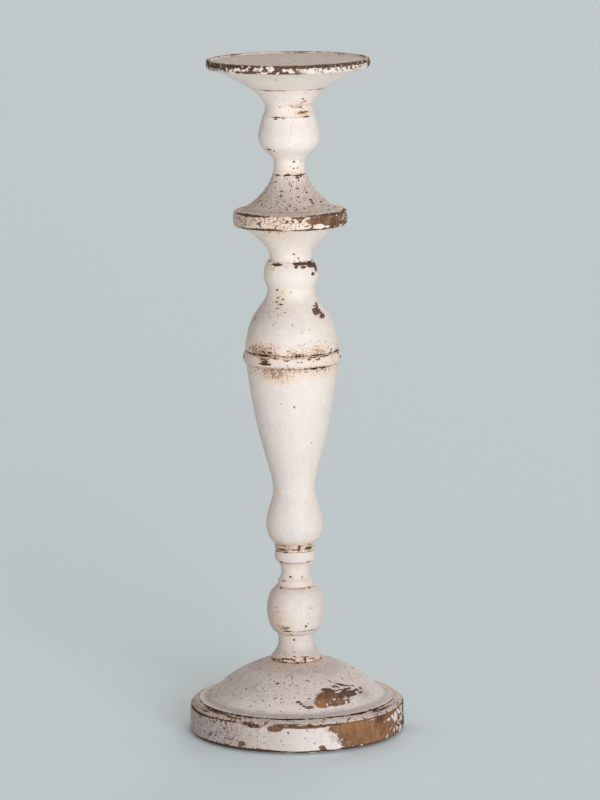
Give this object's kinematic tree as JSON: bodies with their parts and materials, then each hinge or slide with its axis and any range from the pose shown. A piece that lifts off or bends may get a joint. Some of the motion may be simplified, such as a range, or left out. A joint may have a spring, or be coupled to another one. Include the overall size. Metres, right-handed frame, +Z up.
{
  "type": "wooden pillar candlestick",
  "caption": "Turned wooden pillar candlestick with a domed base, vase-shaped stem, drip disc and wide rimmed plate, in chipped cream paint.",
  "frame": {"origin": "centre of the felt pad's underside, on the surface that the candlestick stands on", "axes": "+Z up along the turning axis; X and Y are any two level directions, because the piece is turned"},
  "size_m": [0.1324, 0.1324, 0.4145],
  "materials": {
    "painted_wood": "chalky cream paint, chipped through to brown wood along the edges",
    "dowel_wood": "bare sanded hardwood",
    "screw_steel": "dull zinc-plated steel, darkened with age",
    "felt": "dark brown pressed wool felt"
  },
  "bodies": {
    "root": {"felt_pad": "felt", "base_plinth": "painted_wood", "base_moulding": "painted_wood", "base_dome": "painted_wood", "base_screws": "screw_steel", "stem_washer": "screw_steel", "stem_screw": "screw_steel", "lower_spindle": "painted_wood", "lower_dowel": "dowel_wood", "vase_body": "painted_wood", "middle_dowel": "dowel_wood", "bead_ring": "painted_wood", "shoulder": "painted_wood", "upper_dowel": "dowel_wood", "drip_cup": "painted_wood", "drip_disc": "painted_wood", "drip_cone": "painted_wood", "upper_spindle": "painted_wood", "candle_plate": "painted_wood", "plate_screw": "screw_steel"}
  },
  "joints": []
}
